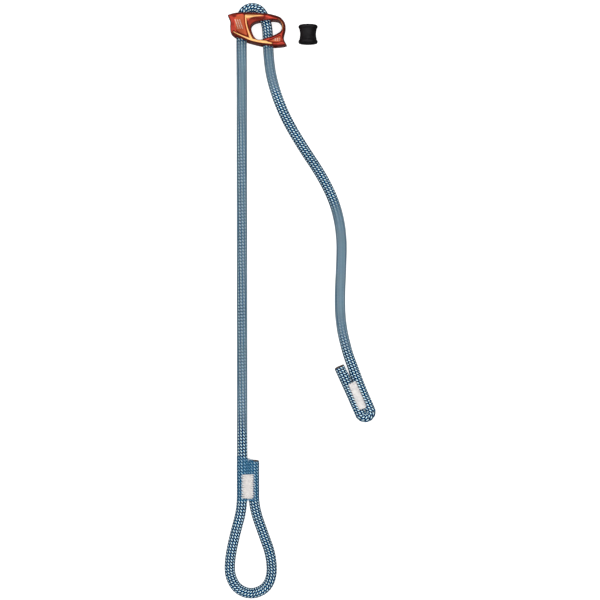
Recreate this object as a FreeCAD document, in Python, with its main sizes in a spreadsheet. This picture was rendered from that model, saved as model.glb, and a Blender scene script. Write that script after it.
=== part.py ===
"""Adjustable rope lanyard with a forged rope adjuster, lying flat.

Frame: +X right, +Y towards the adjuster's top, +Z up from the surface it lies on.
The origin is at the bottom centre of the box round the adjuster frame and the
loose keeper. All lengths are in millimetres.
"""
import FreeCAD, Part
import math
import os

import Sketcher

V = FreeCAD.Vector
doc = FreeCAD.newDocument("RopeLanyard")


# ---------------------------------------------------------------- driving sizes

SIZES = {
    "rope_diameter": 9.5,       # kernmantle rope
    "core_diameter": 7.3,       # core inside the braided sheath
    "wrap_radius": 10.16,       # rope centre line round the frame's bollard
    "bollard_x": -18.69,        # bollard axis, which the frame tilts about
    "bollard_y": 10.09,
    "rope_gap": 0.35,           # clearance between rope and frame
    "tilt_lock": 3.0,           # degrees that the frame tilts to grip
    "tilt_release": 8.0,        # degrees that it tilts back to let rope through
    "frame_length": 55.0,
    "frame_thickness": 19.0,
    "channel_height": 10.7,
    "recess_depth": 1.4,
    "edge_round": 1.2,
    "eye_round": 1.1,
    "sewn_pitch": 10.7,         # between the two strands of the sewn loop
    "stop_pitch": 9.9,          # between the two strands of the sewn stopper
    "sleeve_wall": 0.35,
    "sleeve_gap": 0.1,
    "sleeve_length": 41.2,
    "sleeve_top_y": -394.0,
    "seal_length": 1.2,         # melted rope end
    "seal_diameter": 9.2,
    "thread_diameter": 1.0,
    "loop_rows": 16,
    "loop_row_pitch": 1.46,
    "loop_row_width": 9.3,
    "loop_rows_top_y": -410.7,
    "stop_rows": 18,
    "stop_row_pitch": 1.46,
    "stop_row_width": 8.4,
    "keeper_x": 32.65,
    "keeper_y": -3.85,
    "keeper_length": 17.4,
    "keeper_rim_radius": 8.9,
    "keeper_waist_radius": 7.4,
    "keeper_bore_radius": 5.0,
    "keeper_lip": 4.0,
    "keeper_lip_dome": 0.6,     # how far the lip falls to its outer end
    "keeper_lip_fall": 0.25,    # and to its inner end
}

sheet = doc.addObject("Spreadsheet::Sheet", "Sizes")
for row, (word, value) in enumerate(SIZES.items(), start=1):
    sheet.set("A%d" % row, word)
    sheet.set("B%d" % row, str(value))
    sheet.setAlias("B%d" % row, word)
doc.recompute()


def size(word):
    """The sheet's value for a size, as a plain number."""
    return float(getattr(sheet, word))


def bind(obj, **expressions):
    """Give properties of an object expressions that read the sheet."""
    for prop, text in expressions.items():
        obj.setExpression(prop, text)
    return obj


# ------------------------------------------------------------ small part helpers

def origin_plane(body, role):
    for feature in body.Origin.OriginFeatures:
        if feature.Role == role:
            return feature
    raise ValueError(role)


def new_body(label):
    body = doc.addObject("PartDesign::Body", label)
    body.Label = label
    return body


def new_sketch(body, name, role="XY_Plane", lift=None):
    """A sketch on one of the body's own planes, lifted along its normal by an expression."""
    sketch = body.newObject("Sketcher::SketchObject", name)
    sketch.AttachmentSupport = [(origin_plane(body, role), "")]
    sketch.MapMode = "FlatFace"
    if lift:
        sketch.setExpression("AttachmentOffset.Base.z", lift)
    return sketch


def draw_lines(sketch, points, closed=True):
    """Straight edges through the points, joined end to end."""
    ends = points + points[:1] if closed else points
    first = sketch.GeometryCount
    for a, b in zip(ends, ends[1:]):
        sketch.addGeometry(Part.LineSegment(V(*a), V(*b)), False)
    last = sketch.GeometryCount - 1
    for i in range(first, last):
        sketch.addConstraint(Sketcher.Constraint("Coincident", i, 2, i + 1, 1))
    if closed:
        sketch.addConstraint(Sketcher.Constraint("Coincident", last, 2, first, 1))


def draw_splines(sketch, runs):
    """Smooth curves, each through its own points; each starts where the last one ends."""
    first = sketch.GeometryCount
    for points in runs:
        curve = Part.BSplineCurve()
        closed = points[0] == points[-1]
        curve.interpolate([V(*p) for p in (points[:-1] if closed else points)], PeriodicFlag=closed)
        sketch.addGeometry(curve, False)
    if len(runs) > 1:
        last = sketch.GeometryCount - 1
        for i in range(first, last):
            sketch.addConstraint(Sketcher.Constraint("Coincident", i, 2, i + 1, 1))
        sketch.addConstraint(Sketcher.Constraint("Coincident", last, 2, first, 1))


def symmetric_pad(body, sketch, length):
    pad = body.newObject("PartDesign::Pad", sketch.Name + "Pad")
    pad.Profile = sketch
    pad.SideType = "Symmetric"
    return bind(pad, Length=length)


def symmetric_pocket(body, sketch, length):
    pocket = body.newObject("PartDesign::Pocket", sketch.Name + "Pocket")
    pocket.Profile = sketch
    pocket.SideType = "Symmetric"
    return bind(pocket, Length=length)


def turned(point, degrees):
    """A point turned about the bollard axis."""
    cx, cy = size("bollard_x"), size("bollard_y")
    a = math.radians(degrees)
    dx, dy = point[0] - cx, point[1] - cy
    return (cx + dx * math.cos(a) - dy * math.sin(a), cy + dx * math.sin(a) + dy * math.cos(a))


def about_bollard(radius, degrees):
    a = math.radians(degrees)
    return (size("bollard_x") + radius * math.cos(a), size("bollard_y") + radius * math.sin(a))


# ---------------------------------------------------------------- the rope's route
# Corner points of the rope's centre line, from the sealed end in the sewn loop,
# round the loop, up the load strand, round the bollard and down the tail to the
# sealed end of the stopper.

REST_Z = size("rope_diameter") / 2
SLEEVE_Z = REST_Z + size("sleeve_gap") + size("sleeve_wall")
FRAME_Z = size("frame_thickness") / 2

LOOP = [
    (-17.5, -398.9, SLEEVE_Z), (-17.6, -419.7, SLEEVE_Z), (-17.35, -441.8, 5.1),
    (-8.5, -467.1, REST_Z), (-1.85, -485.2, REST_Z), (-0.45, -504.5, REST_Z),
    (-6.45, -517.2, REST_Z), (-19.85, -522.5, REST_Z), (-33.05, -517.5, REST_Z),
    (-39.85, -505.2, REST_Z), (-39.95, -490.2, REST_Z), (-35.15, -466.7, REST_Z),
    (-28.3, -442.3, SLEEVE_Z),
]
LOAD = [(-28.75, -52.7, REST_Z), (-28.85, -14.7, FRAME_Z)]

WRAP_START, WRAP_STEP, WRAP_CORNERS = 160.0, 40.0, 4
corner_radius = size("wrap_radius") / math.cos(math.radians(WRAP_STEP / 2))
WRAP = [about_bollard(corner_radius, WRAP_START - i * WRAP_STEP) + (FRAME_Z,) for i in range(WRAP_CORNERS)]

TAIL = [
    (-5.05, 5.3, FRAME_Z), (-4.3, -14.7, FRAME_Z), (-3.45, -28.7, 8.3), (-1.35, -42.7, 6.1),
    (3.75, -60.7, REST_Z), (12.85, -82.7, REST_Z), (28.05, -108.2, REST_Z),
    (46.15, -135.2, REST_Z), (58.65, -161.7, REST_Z), (64.05, -189.7, REST_Z),
    (63.45, -218.7, REST_Z), (61.85, -248.7, REST_Z), (63.25, -273.7, REST_Z),
    (68.95, -297.7, REST_Z), (74.35, -312.2, REST_Z), (81.75, -332.2, REST_Z),
]

# The stopper's fold: half a turn whose corners are 60 degrees apart.
FOLD_CENTRE = V(85.55, -353.0, REST_Z)
FOLD_TILT = 23.0                                    # of the folded strands from -Y
FOLD_STEP, FOLD_CORNERS = 60.0, 3
fold_down = V(math.sin(math.radians(FOLD_TILT)), -math.cos(math.radians(FOLD_TILT)), 0)
fold_side = V(-fold_down.y, fold_down.x, 0)
fold_radius = size("stop_pitch") / 2 / math.cos(math.radians(FOLD_STEP / 2))


def fold_point(degrees):
    a = math.radians(degrees)
    return FOLD_CENTRE + fold_side * fold_radius * math.cos(a) + fold_down * fold_radius * math.sin(a)


FOLD = [tuple(fold_point(FOLD_STEP * (i + 0.5))) for i in range(FOLD_CORNERS)]
STOP_END = [(71.95, -334.1, REST_Z), (61.75, -311.8, REST_Z)]

ROUTE = [V(*p) for p in LOOP + LOAD + WRAP + TAIL + FOLD + STOP_END]
LOAD_CUT = len(LOOP) - 1                            # run from the loop to the load strand
WRAP_IN = len(LOOP) + 1                             # run up into the frame
WRAP_FIRST = len(LOOP) + len(LOAD)
WRAP_OUT = WRAP_FIRST + WRAP_CORNERS                # run down out of the frame
STOP_CUT = WRAP_FIRST + WRAP_CORNERS + len(TAIL) - 3
FOLD_FIRST = len(ROUTE) - len(STOP_END) - FOLD_CORNERS

# Round the bollard and the fold the arcs meet with no straight between them.
ROUND_CORNERS = set(range(WRAP_FIRST, WRAP_FIRST + WRAP_CORNERS))
ROUND_CORNERS |= set(range(FOLD_FIRST, FOLD_FIRST + FOLD_CORNERS))


# How much of the shorter run beside a corner its arc takes.
ROUND_SHARE, BEND_SHARE = 0.5, 0.45


def corner_arc(i):
    """Start, middle and end of the arc at route point i, with its radius."""
    before, here, after = ROUTE[i - 1], ROUTE[i], ROUTE[i + 1]
    back, ahead = (before - here), (after - here)
    runs = sorted((back.Length, ahead.Length))
    back.normalize()
    ahead.normalize()
    half_turn = (math.pi - back.getAngle(ahead)) / 2
    setback = (ROUND_SHARE if i in ROUND_CORNERS else BEND_SHARE) * runs[0]
    radius = setback / math.tan(half_turn)
    inward = back + ahead
    inward.normalize()
    middle = here + inward * (radius / math.cos(half_turn) - radius)
    return here + back * setback, middle, here + ahead * setback, radius


def run_point(i, share):
    return ROUTE[i] + (ROUTE[i + 1] - ROUTE[i]) * share


def rope_path(first_run, last_run, start, end):
    """A wire of tangent lines and arcs from a point on one run to a point on another."""
    edges = []
    here = start
    for i in range(first_run + 1, last_run + 1):
        arc_start, middle, arc_end, radius = corner_arc(i)
        if (arc_start - here).Length > 0.01:
            edges.append(Part.LineSegment(here, arc_start).toShape())
        edges.append(Part.Arc(arc_start, middle, arc_end).toShape())
        here = arc_end
        print("bend at (%.1f, %.1f): radius %.1f" % (ROUTE[i].x, ROUTE[i].y, radius))
    edges.append(Part.LineSegment(here, end).toShape())
    return Part.Wire(edges)


sub_parts = []


def keep(obj, label):
    obj.Label = label
    sub_parts.append(obj)
    return obj


def swept(path, name, radius):
    """A round bar along the path, its radius bound to the sheet."""
    first = path.Shape.Edges[0]
    circle = doc.addObject("Part::Circle", name + "Section")
    bind(circle, Radius=radius)
    direction = first.tangentAt(first.FirstParameter)
    circle.Placement = FreeCAD.Placement(
        first.valueAt(first.FirstParameter), FreeCAD.Rotation(V(0, 0, 1), direction))
    sweep = doc.addObject("Part::Sweep", name + "Sweep")
    sweep.Sections = [circle]
    sweep.Spine = (path, ["Edge%d" % (k + 1) for k in range(len(path.Shape.Edges))])
    sweep.Solid = True
    sweep.Frenet = False
    return sweep


def rope_stretch(label, wire):
    """Sheath and core of one stretch of the rope."""
    path = doc.addObject("Part::Feature", label + "_path")
    path.Shape = wire
    outer = swept(path, label + "_outer", "Sizes.rope_diameter / 2")
    core = swept(path, label + "_inner", "Sizes.core_diameter / 2")
    sheath = doc.addObject("Part::Cut", label + "_tube")
    sheath.Base = outer
    sheath.Tool = core
    doc.recompute()
    expected = wire.Length * math.pi * (size("rope_diameter") ** 2 - size("core_diameter") ** 2) / 4
    print("%s: length %.1f, volume %.0f, section times length %.0f"
          % (label, wire.Length, sheath.Shape.Volume, expected))
    keep(sheath, label + "_sheath")
    keep(core, label + "_core")
    return wire.Length


# ----------------------------------------------------------------------- the rope

last_run = len(ROUTE) - 2
# Where one stretch ends and the next begins, as shares of the runs they lie on: in
# the sleeve's upper end, inside the frame's rear and front openings, and above the
# stopper.
load_low = run_point(LOAD_CUT, 0.12)
wrap_low = run_point(WRAP_IN, 0.48)
wrap_out = run_point(WRAP_OUT, 0.66)
stop_top = run_point(STOP_CUT, 0.5)

STRETCHES = {
    "harness_loop": (0, LOAD_CUT, ROUTE[0], load_low),
    "load_strand": (LOAD_CUT, WRAP_IN, load_low, wrap_low),
    "wrap": (WRAP_IN, WRAP_OUT, wrap_low, wrap_out),
    "tail": (WRAP_OUT, STOP_CUT, wrap_out, stop_top),
    "stopper": (STOP_CUT, last_run, stop_top, ROUTE[-1]),
}
rope_length = sum(rope_stretch("rope_" + name, rope_path(*ends)) for name, ends in STRETCHES.items())
print("rope length %.1f" % (rope_length + 2 * size("seal_length")))


def sealed_end(label, end, direction):
    """The melted cap on a cut rope end, facing away from the rope."""
    cap = doc.addObject("Part::Cylinder", label)
    bind(cap, Radius="Sizes.seal_diameter / 2", Height="Sizes.seal_length")
    cap.Placement = FreeCAD.Placement(end, FreeCAD.Rotation(V(0, 0, 1), direction))
    return keep(cap, label)


sealed_end("loop_end_seal", ROUTE[0], ROUTE[0] - ROUTE[1])
sealed_end("stopper_end_seal", ROUTE[-1], ROUTE[-1] - ROUTE[-2])


# ------------------------------------------------------------ stitching and sleeve

def stitch_rows(label, top, along, count, pitch, width, height):
    """Parallel threads across two strands, as separate bars."""
    across = V(-along.y, along.x, 0)
    rows = []
    for i in range(int(size(count))):
        bar = doc.addObject("Part::Cylinder", "%s_row%d" % (label, i))
        bind(bar, Radius="Sizes.thread_diameter / 2", Height="Sizes." + width)
        middle = top + along * size(pitch) * i
        start = middle - across * (size(width) / 2) + V(0, 0, height)
        bar.Placement = FreeCAD.Placement(start, FreeCAD.Rotation(V(0, 0, 1), across))
        rows.append(bar)
    group = doc.addObject("Part::Compound", label)
    group.Links = rows
    return keep(group, label)


SEWN_STRAND_X = -17.65                              # the sewn end, beside the load strand
loop_middle_x = SEWN_STRAND_X - size("sewn_pitch") / 2
loop_top = V(loop_middle_x, size("loop_rows_top_y"), 0)
THREAD_SINK = 0.1                                   # how far the threads sink into the rope
loop_reach = REST_Z - size("thread_diameter") / 2 - THREAD_SINK
ABOVE_LOOP, BELOW_LOOP = SLEEVE_Z + loop_reach, SLEEVE_Z - loop_reach
for label, height in (("loop_stitching_top", ABOVE_LOOP), ("loop_stitching_back", BELOW_LOOP)):
    stitch_rows(label, loop_top, V(0, -1, 0), "loop_rows", "loop_row_pitch", "loop_row_width", height)

stop_rows_length = (size("stop_rows") - 1) * size("stop_row_pitch")
STOP_TO_FOLD = 4.6                                  # last row to the fold's centre
STOP_OFF_CENTRE = 0.8                               # the rows lie nearer the free strand
stop_first = FOLD_CENTRE - fold_down * (STOP_TO_FOLD + stop_rows_length) - fold_side * STOP_OFF_CENTRE
stop_first.z = 0
stop_reach = REST_Z - size("thread_diameter") / 2 - THREAD_SINK
ABOVE_STOP, BELOW_STOP = REST_Z + stop_reach, REST_Z - stop_reach
for label, height in (("stopper_stitching_top", ABOVE_STOP), ("stopper_stitching_back", BELOW_STOP)):
    stitch_rows(label, stop_first, fold_down, "stop_rows", "stop_row_pitch", "stop_row_width", height)


def sleeve():
    """Clear shrink sleeve round both strands of the sewn loop."""
    body = new_body("clear_sleeve")
    sketch = new_sketch(body, "SleeveSection", "XZ_Plane")
    reach = size("sewn_pitch") / 2
    inner = REST_Z + size("sleeve_gap")
    for radius in (inner, inner + size("sleeve_wall")):
        first = sketch.GeometryCount
        right = Part.Circle(V(reach, 0, 0), V(0, 0, 1), radius)
        left = Part.Circle(V(-reach, 0, 0), V(0, 0, 1), radius)
        sketch.addGeometry(Part.ArcOfCircle(right, -math.pi / 2, math.pi / 2), False)
        sketch.addGeometry(Part.LineSegment(V(reach, radius, 0), V(-reach, radius, 0)), False)
        sketch.addGeometry(Part.ArcOfCircle(left, math.pi / 2, 3 * math.pi / 2), False)
        sketch.addGeometry(Part.LineSegment(V(-reach, -radius, 0), V(reach, -radius, 0)), False)
        for i in range(4):
            sketch.addConstraint(Sketcher.Constraint("Coincident", first + i, 2, first + (i + 1) % 4, 1))
    pad = body.newObject("PartDesign::Pad", "SleevePad")
    pad.Profile = sketch
    bind(pad, Length="Sizes.sleeve_length")
    body.Placement = FreeCAD.Placement(V(loop_middle_x, size("sleeve_top_y"), SLEEVE_Z), FreeCAD.Rotation())
    doc.recompute()
    if pad.Shape.BoundBox.YMax > 1:                 # the sleeve hangs down from its top
        pad.Reversed = True
    return keep(body, "clear_sleeve")


sleeve()


# ----------------------------------------------------------------- adjuster frame

# The frame's silhouette, clockwise: over the top from the rear horn to the front
# horn, then back along the lower edge.
TOP_EDGE = [
    (-41.7, 13.3), (-35.35, 15.2), (-29.85, 15.9), (-22.55, 16.0), (-15.15, 15.7), (-4.85, 14.8),
    (5.55, 12.2), (9.45, 9.0), (11.6, 5.4), (12.0, -0.1), (10.75, -5.1), (10.55, -9.3),
    (13.3, -14.7),
]
LOWER_EDGE = [
    (13.3, -14.7), (8.05, -15.7), (-0.55, -16.0), (-9.65, -14.8), (-20.65, -12.1), (-29.85, -8.9),
    (-35.35, -6.5), (-38.6, -3.0), (-39.35, 2.3), (-39.25, 7.3), (-41.7, 13.3),
]
# The connector eye, a rounded triangle that is widest at the rope.
EYE = [
    (-19.95, 1.5), (-17.95, 5.3), (-13.15, 7.2), (-5.55, 8.1), (2.15, 8.5), (6.65, 7.0),
    (8.55, 2.7), (7.65, -1.5), (3.05, -4.7), (-4.55, -7.9), (-10.55, -9.9), (-14.55, -9.5),
    (-17.85, -5.9), (-19.95, 1.5),
]
# Weight-saving recesses in both faces, behind and in front of the eye.
REAR_RECESS = [(-33.95, 7.7), (-26.75, 10.5), (-25.45, 1.3), (-23.15, -7.1), (-27.95, -6.1), (-33.15, -2.9)]
FRONT_RECESS = [(-5.75, -11.2), (6.05, -5.9), (7.85, -9.3), (8.05, -12.6), (0.45, -12.9)]

# The rope's channel is drawn past the frame above and below, and its upper side
# leaves the rope's outer edge where the frame's top drops away in front.
CLEAR_TOP, CLEAR_DROP = 30.0, 40.0
CROWN_ANGLE = 32.0
BEND_ROOM = 0.6                                     # more room where the rope leaves the bollard
BOLLARD_END_ANGLE = -10.0


DRAWN_LENGTH = 55.0                                 # of the outlines above


def scaled(points):
    """Points of the frame's own outlines, stretched with its length."""
    share = size("frame_length") / DRAWN_LENGTH
    return [(x * share, y * share) for x, y in points]


def rope_channel(sketch):
    """Where the rope passes through the frame: its own band round the bollard, opened on
    both sides by the angles that the frame tilts about it."""
    lock, release = size("tilt_lock"), size("tilt_release")
    half = size("rope_diameter") / 2 + size("rope_gap")
    outer, inner = size("wrap_radius") + half, size("wrap_radius") - half

    def below(point, degrees):
        """Where a line that leaves a point at an angle from -Y is well clear of the frame."""
        return (point[0] + math.tan(math.radians(degrees)) * CLEAR_DROP, point[1] - CLEAR_DROP)

    rear_outer = about_bollard(outer, 180 - lock)
    rear_inner = about_bollard(inner, 180 + release)
    bend_x, bend_y = TAIL[0][:2]
    front_outer = [turned((bend_x + half + BEND_ROOM, bend_y), release)]
    front_outer += [turned((x + half, y), release) for x, y, z in TAIL[1:3]]
    front_inner = [turned((x - half, y), -lock) for x, y, z in TAIL[:3]]
    crown = about_bollard(outer + BEND_ROOM, CROWN_ANGLE)
    bollard = Part.Circle(V(size("bollard_x"), size("bollard_y"), 0), V(0, 0, 1), inner)
    arc = Part.ArcOfCircle(bollard, math.radians(BOLLARD_END_ANGLE), math.radians(180 + release))
    corners = [
        rear_inner, below(rear_inner, release), below(rear_outer, -lock), rear_outer,
        (rear_outer[0], CLEAR_TOP), (crown[0], CLEAR_TOP), crown,
        *front_outer, *reversed(front_inner), (arc.StartPoint.x, arc.StartPoint.y),
    ]
    draw_lines(sketch, corners, closed=False)
    sketch.addGeometry(arc, False)


def recess(body, name, points, face):
    """A shallow pocket in one face; its floor keeps recess_depth below it."""
    sign = "" if face > 0 else "-"
    sketch = new_sketch(body, name, lift="%sSizes.frame_thickness / 2" % sign)
    draw_lines(sketch, scaled(points))
    doc.recompute()
    pocket = body.newObject("PartDesign::Pocket", name + "Pocket")
    pocket.Profile = sketch
    pocket.Reversed = face < 0
    bind(pocket, Length="Sizes.recess_depth")
    return pocket


LEAST_CUT = 1.0                                     # cubic millimetres


def volume_after(body, before):
    """Check that the last feature really took material away."""
    doc.recompute()
    after = body.Shape.Volume
    if not after < before - LEAST_CUT:
        raise RuntimeError("%s removed nothing" % body.Tip.Name)
    return after


LONGEST_EYE_EDGE = 40.0                             # the silhouette's edges are longer


def face_edge_names(shape, of_eye):
    """The eye's edges in the two faces' planes, or else the silhouette's."""
    level = size("frame_thickness") / 2
    names = []
    for i, edge in enumerate(shape.Edges, start=1):
        box = edge.BoundBox
        in_face = box.ZLength < 0.01 and abs(abs(box.ZMin) - level) < 0.01
        if in_face and (box.XLength < LONGEST_EYE_EDGE) == of_eye:
            names.append("Edge%d" % i)
    return names


def adjuster_frame():
    """One forging: two cheeks joined by the bollard, the webs and the end walls."""
    body = new_body("adjuster_frame")
    outline = new_sketch(body, "Silhouette")
    draw_splines(outline, [scaled(TOP_EDGE), scaled(LOWER_EDGE)])
    symmetric_pad(body, outline, "Sizes.frame_thickness")
    doc.recompute()
    volume = body.Shape.Volume

    eye = new_sketch(body, "Eye")
    draw_splines(eye, [scaled(EYE)])
    symmetric_pocket(body, eye, "Sizes.frame_thickness * 1.1")
    volume = volume_after(body, volume)

    for name, of_eye, radius in (("EyeRound", True, "Sizes.eye_round"),
                                 ("EdgeRound", False, "Sizes.edge_round")):
        base = body.Tip
        edges = face_edge_names(base.Shape, of_eye)
        fillet = body.newObject("PartDesign::Fillet", name)
        fillet.Base = (base, edges)
        bind(fillet, Radius=radius)
        volume = volume_after(body, volume)

    channel = new_sketch(body, "RopeChannel")
    rope_channel(channel)
    symmetric_pocket(body, channel, "Sizes.channel_height")
    volume = volume_after(body, volume)

    for name, points in (("RearRecess", REAR_RECESS), ("FrontRecess", FRONT_RECESS)):
        for side, face in (("Front", 1), ("Back", -1)):
            recess(body, name + side, points, face)
            volume = volume_after(body, volume)
    body.Placement = FreeCAD.Placement(V(0, 0, FRAME_Z), FreeCAD.Rotation())
    return keep(body, "adjuster_frame")


adjuster_frame()


# ------------------------------------------------------------------------- keeper

def keeper():
    """Rubber spool that seats in the eye and grips the connector; its axis lies along Y."""
    body = new_body("connector_keeper")
    sketch = new_sketch(body, "KeeperSection", "YZ_Plane")
    half, lip, dome = size("keeper_length") / 2, size("keeper_lip"), size("keeper_lip_dome")
    rim, waist, bore = size("keeper_rim_radius"), size("keeper_waist_radius"), size("keeper_bore_radius")
    inner_edge = rim - size("keeper_lip_fall")
    top = [(-half, bore), (half, bore), (half, rim - dome), (half - 2 * dome, rim),
           (half - lip, inner_edge), (0.0, waist), (-half + lip, inner_edge),
           (-half + 2 * dome, rim), (-half, rim - dome)]
    draw_lines(sketch, top[:5], closed=False)
    waist_arc = Part.Arc(V(*top[4]), V(*top[5]), V(*top[6]))
    sketch.addGeometry(waist_arc, False)
    draw_lines(sketch, top[6:] + top[:1], closed=False)
    turn = body.newObject("PartDesign::Revolution", "KeeperTurn")
    turn.Profile = sketch
    turn.ReferenceAxis = (sketch, ["H_Axis"])
    turn.Angle = 360
    body.Placement = FreeCAD.Placement(
        V(size("keeper_x"), size("keeper_y"), rim), FreeCAD.Rotation())
    return keep(body, "connector_keeper")


keeper()


# ------------------------------------------------------------- check and write out

doc.recompute()
for obj in doc.Objects:
    if "Invalid" in obj.State or "Error" in obj.State:
        raise RuntimeError("%s is %s" % (obj.Label, obj.State))

os.makedirs("parts", exist_ok=True)
for obj in sub_parts:
    shape = obj.Shape
    if shape.isNull() or not shape.isValid():
        raise RuntimeError("%s has a bad shape" % obj.Label)
    shape.exportStep(os.path.join("parts", obj.Label + ".step"))
    box = shape.BoundBox
    print("%-26s solids %2d volume %9.1f  x %.1f..%.1f  y %.1f..%.1f  z %.2f..%.2f" % (
        obj.Label, len(shape.Solids), shape.Volume, box.XMin, box.XMax, box.YMin, box.YMax, box.ZMin, box.ZMax))
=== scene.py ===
import math
from collections import namedtuple

import bpy
import numpy as np
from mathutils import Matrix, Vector


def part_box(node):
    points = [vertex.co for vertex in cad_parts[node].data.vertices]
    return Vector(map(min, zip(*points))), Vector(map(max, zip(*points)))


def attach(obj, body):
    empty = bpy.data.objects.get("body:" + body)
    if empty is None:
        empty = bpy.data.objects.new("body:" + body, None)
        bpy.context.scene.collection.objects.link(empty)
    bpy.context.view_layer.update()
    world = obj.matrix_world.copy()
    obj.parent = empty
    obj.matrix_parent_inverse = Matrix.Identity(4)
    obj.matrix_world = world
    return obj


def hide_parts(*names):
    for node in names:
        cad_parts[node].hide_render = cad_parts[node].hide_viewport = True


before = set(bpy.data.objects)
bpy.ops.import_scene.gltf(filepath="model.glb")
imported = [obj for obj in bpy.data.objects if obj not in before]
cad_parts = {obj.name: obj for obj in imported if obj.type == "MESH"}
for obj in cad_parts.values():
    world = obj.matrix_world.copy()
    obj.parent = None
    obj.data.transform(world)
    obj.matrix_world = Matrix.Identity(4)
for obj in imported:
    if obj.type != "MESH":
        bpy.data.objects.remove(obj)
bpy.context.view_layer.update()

# --------------------------------------------------------------------- driving sizes
# In millimetres, as in the model's source. A length that is multiplied by MM is in
# metres, which is what Blender works in.

MM = 0.001
ROPE_RADIUS = 4.75
REST_Z, SLEEVE_Z, FRAME_Z = 4.75, 5.2, 9.5    # the rope's line on the floor, in the sleeve, in the frame
BOLLARD_X, BOLLARD_Y, WRAP_RADIUS = -18.69, 10.09, 10.16

# The braid. A repeat is the length of rope from one white yarn to the next.
CROWN_RADIUS = 4.86              # to the yarns' crowns
YARN_RELIEF = 0.18               # from the crowns down to the grooves
YARN_COLUMNS = 11                # pairs of yarn columns round the rope
YARN_CLIMB = 10.0 / 11.0         # repeats that a yarn climbs from one pair of columns to the next
YARN_REPEAT = 2.78
DRAWN_REPEAT = 2.90              # on the load strand, which is drawn straight
TWIST = 0.02                     # columns that the braid winds round the rope in each repeat
WHITE_SHARE = 0.43               # how much of the yarns that lean right is white
ROPE_STEP = 0.37                 # from one ring of the sheath's mesh to the next
SIDES = 88                       # points in each ring


# ------------------------------------------------------------------ node materials

class Shader:
    """A material's node tree, with short calls for the nodes that these materials use."""

    def __init__(self, name):
        self.material = bpy.data.materials.new(name)
        self.material.use_nodes = True
        self.tree = self.material.node_tree
        self.surface = self.tree.nodes["Principled BSDF"]

    def node(self, kind, **settings):
        made = self.tree.nodes.new(kind)
        for key, value in settings.items():
            setattr(made, key, value)
        return made

    def plug(self, value, socket):
        """Link an output, or set a plain value."""
        if isinstance(value, bpy.types.NodeSocket):
            self.tree.links.new(value, socket)
        else:
            socket.default_value = value

    def math(self, operation, a, b=0.0):
        made = self.node("ShaderNodeMath", operation=operation)
        self.plug(a, made.inputs[0])
        self.plug(b, made.inputs[1])
        return made.outputs[0]

    def mix(self, share, a, b, kind="RGBA", blend="MIX"):
        made = self.node("ShaderNodeMix", data_type=kind, blend_type=blend)
        self.plug(share, made.inputs["Factor"])
        self.plug(a, made.inputs["A"])
        self.plug(b, made.inputs["B"])
        return made.outputs["Result"]

    def vector(self, x, y, z=0.0):
        made = self.node("ShaderNodeCombineXYZ")
        for value, socket in zip((x, y, z), made.inputs):
            self.plug(value, socket)
        return made.outputs[0]

    def split(self, vector):
        """The x, y and z of a vector."""
        made = self.node("ShaderNodeSeparateXYZ")
        self.plug(vector, made.inputs[0])
        return made.outputs

    def place(self):
        return self.node("ShaderNodeTexCoord").outputs["Object"]

    def attribute(self, name, output="Fac"):
        return self.node("ShaderNodeAttribute", attribute_name=name).outputs[output]

    def noise(self, place, scale, detail=3.0, roughness=0.5):
        made = self.node("ShaderNodeTexNoise")
        self.plug(place, made.inputs["Vector"])
        made.inputs["Scale"].default_value = scale
        made.inputs["Detail"].default_value = detail
        made.inputs["Roughness"].default_value = roughness
        return made.outputs["Fac"]

    def spread(self, value, low, high, to_low=0.0, to_high=1.0):
        """Map the range from low to high on to another one."""
        made = self.node("ShaderNodeMapRange")
        for item, socket in zip((value, low, high, to_low, to_high), made.inputs):
            self.plug(item, socket)
        return made.outputs[0]

    def vary(self, noise, to_low, to_high):
        """Map the range that a noise mostly keeps to on to another one."""
        return self.spread(noise, 0.3, 0.7, to_low, to_high)

    def bump(self, height, distance, strength=1.0, after=None):
        made = self.node("ShaderNodeBump")
        made.inputs["Strength"].default_value = strength
        made.inputs["Distance"].default_value = distance
        self.plug(height, made.inputs["Height"])
        if after is not None:
            self.plug(after, made.inputs["Normal"])
        return made.outputs[0]

    def finish(self, **sockets):
        """Set the surface's own sockets; a name's underscores are spaces."""
        for name, value in sockets.items():
            self.plug(value, self.surface.inputs[name.replace("_", " ")])
        return self.material


def rgb(red, green, blue):
    return (red, green, blue, 1.0)


DYE_DEEP, DYE_BRIGHT = rgb(0.50, 0.050, 0.034), rgb(0.60, 0.078, 0.046)
# PAINTED_HIGHLIGHT is a painted highlight: a pale gold laid on the frame's ridges and top faces.
PAINTED_HIGHLIGHT, DYE_BLASTED = rgb(0.92, 0.50, 0.19), rgb(0.60, 0.125, 0.050)
BARE_MARK = rgb(0.84, 0.74, 0.60)
YARN_WHITE, YARN_NAVY = rgb(0.67, 0.92, 1.0), rgb(0.001, 0.007, 0.024)
YARN_BLUE, YARN_INK = rgb(0.002, 0.075, 0.205), rgb(0.001, 0.013, 0.042)
THREAD_CLEAN, THREAD_SOILED = rgb(0.69, 0.665, 0.64), rgb(0.54, 0.52, 0.51)
FILM_DEEP, FILM_PALE = rgb(0.005, 0.11, 0.24), rgb(0.02, 0.17, 0.32)
FILM_OVER_THREAD = rgb(0.66, 0.645, 0.625)
MELT_DARK, MELT_BROWN = rgb(0.012, 0.011, 0.012), rgb(0.15, 0.10, 0.065)
RUBBER_BLACK, RUBBER_DUSTY = rgb(0.003, 0.0025, 0.003), rgb(0.012, 0.0105, 0.012)
FLOOR_DARK, FLOOR_PALE = rgb(0.42, 0.42, 0.42), rgb(0.46, 0.46, 0.46)
FLOOR_GLOW = rgb(1.0, 1.0, 1.0)


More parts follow.
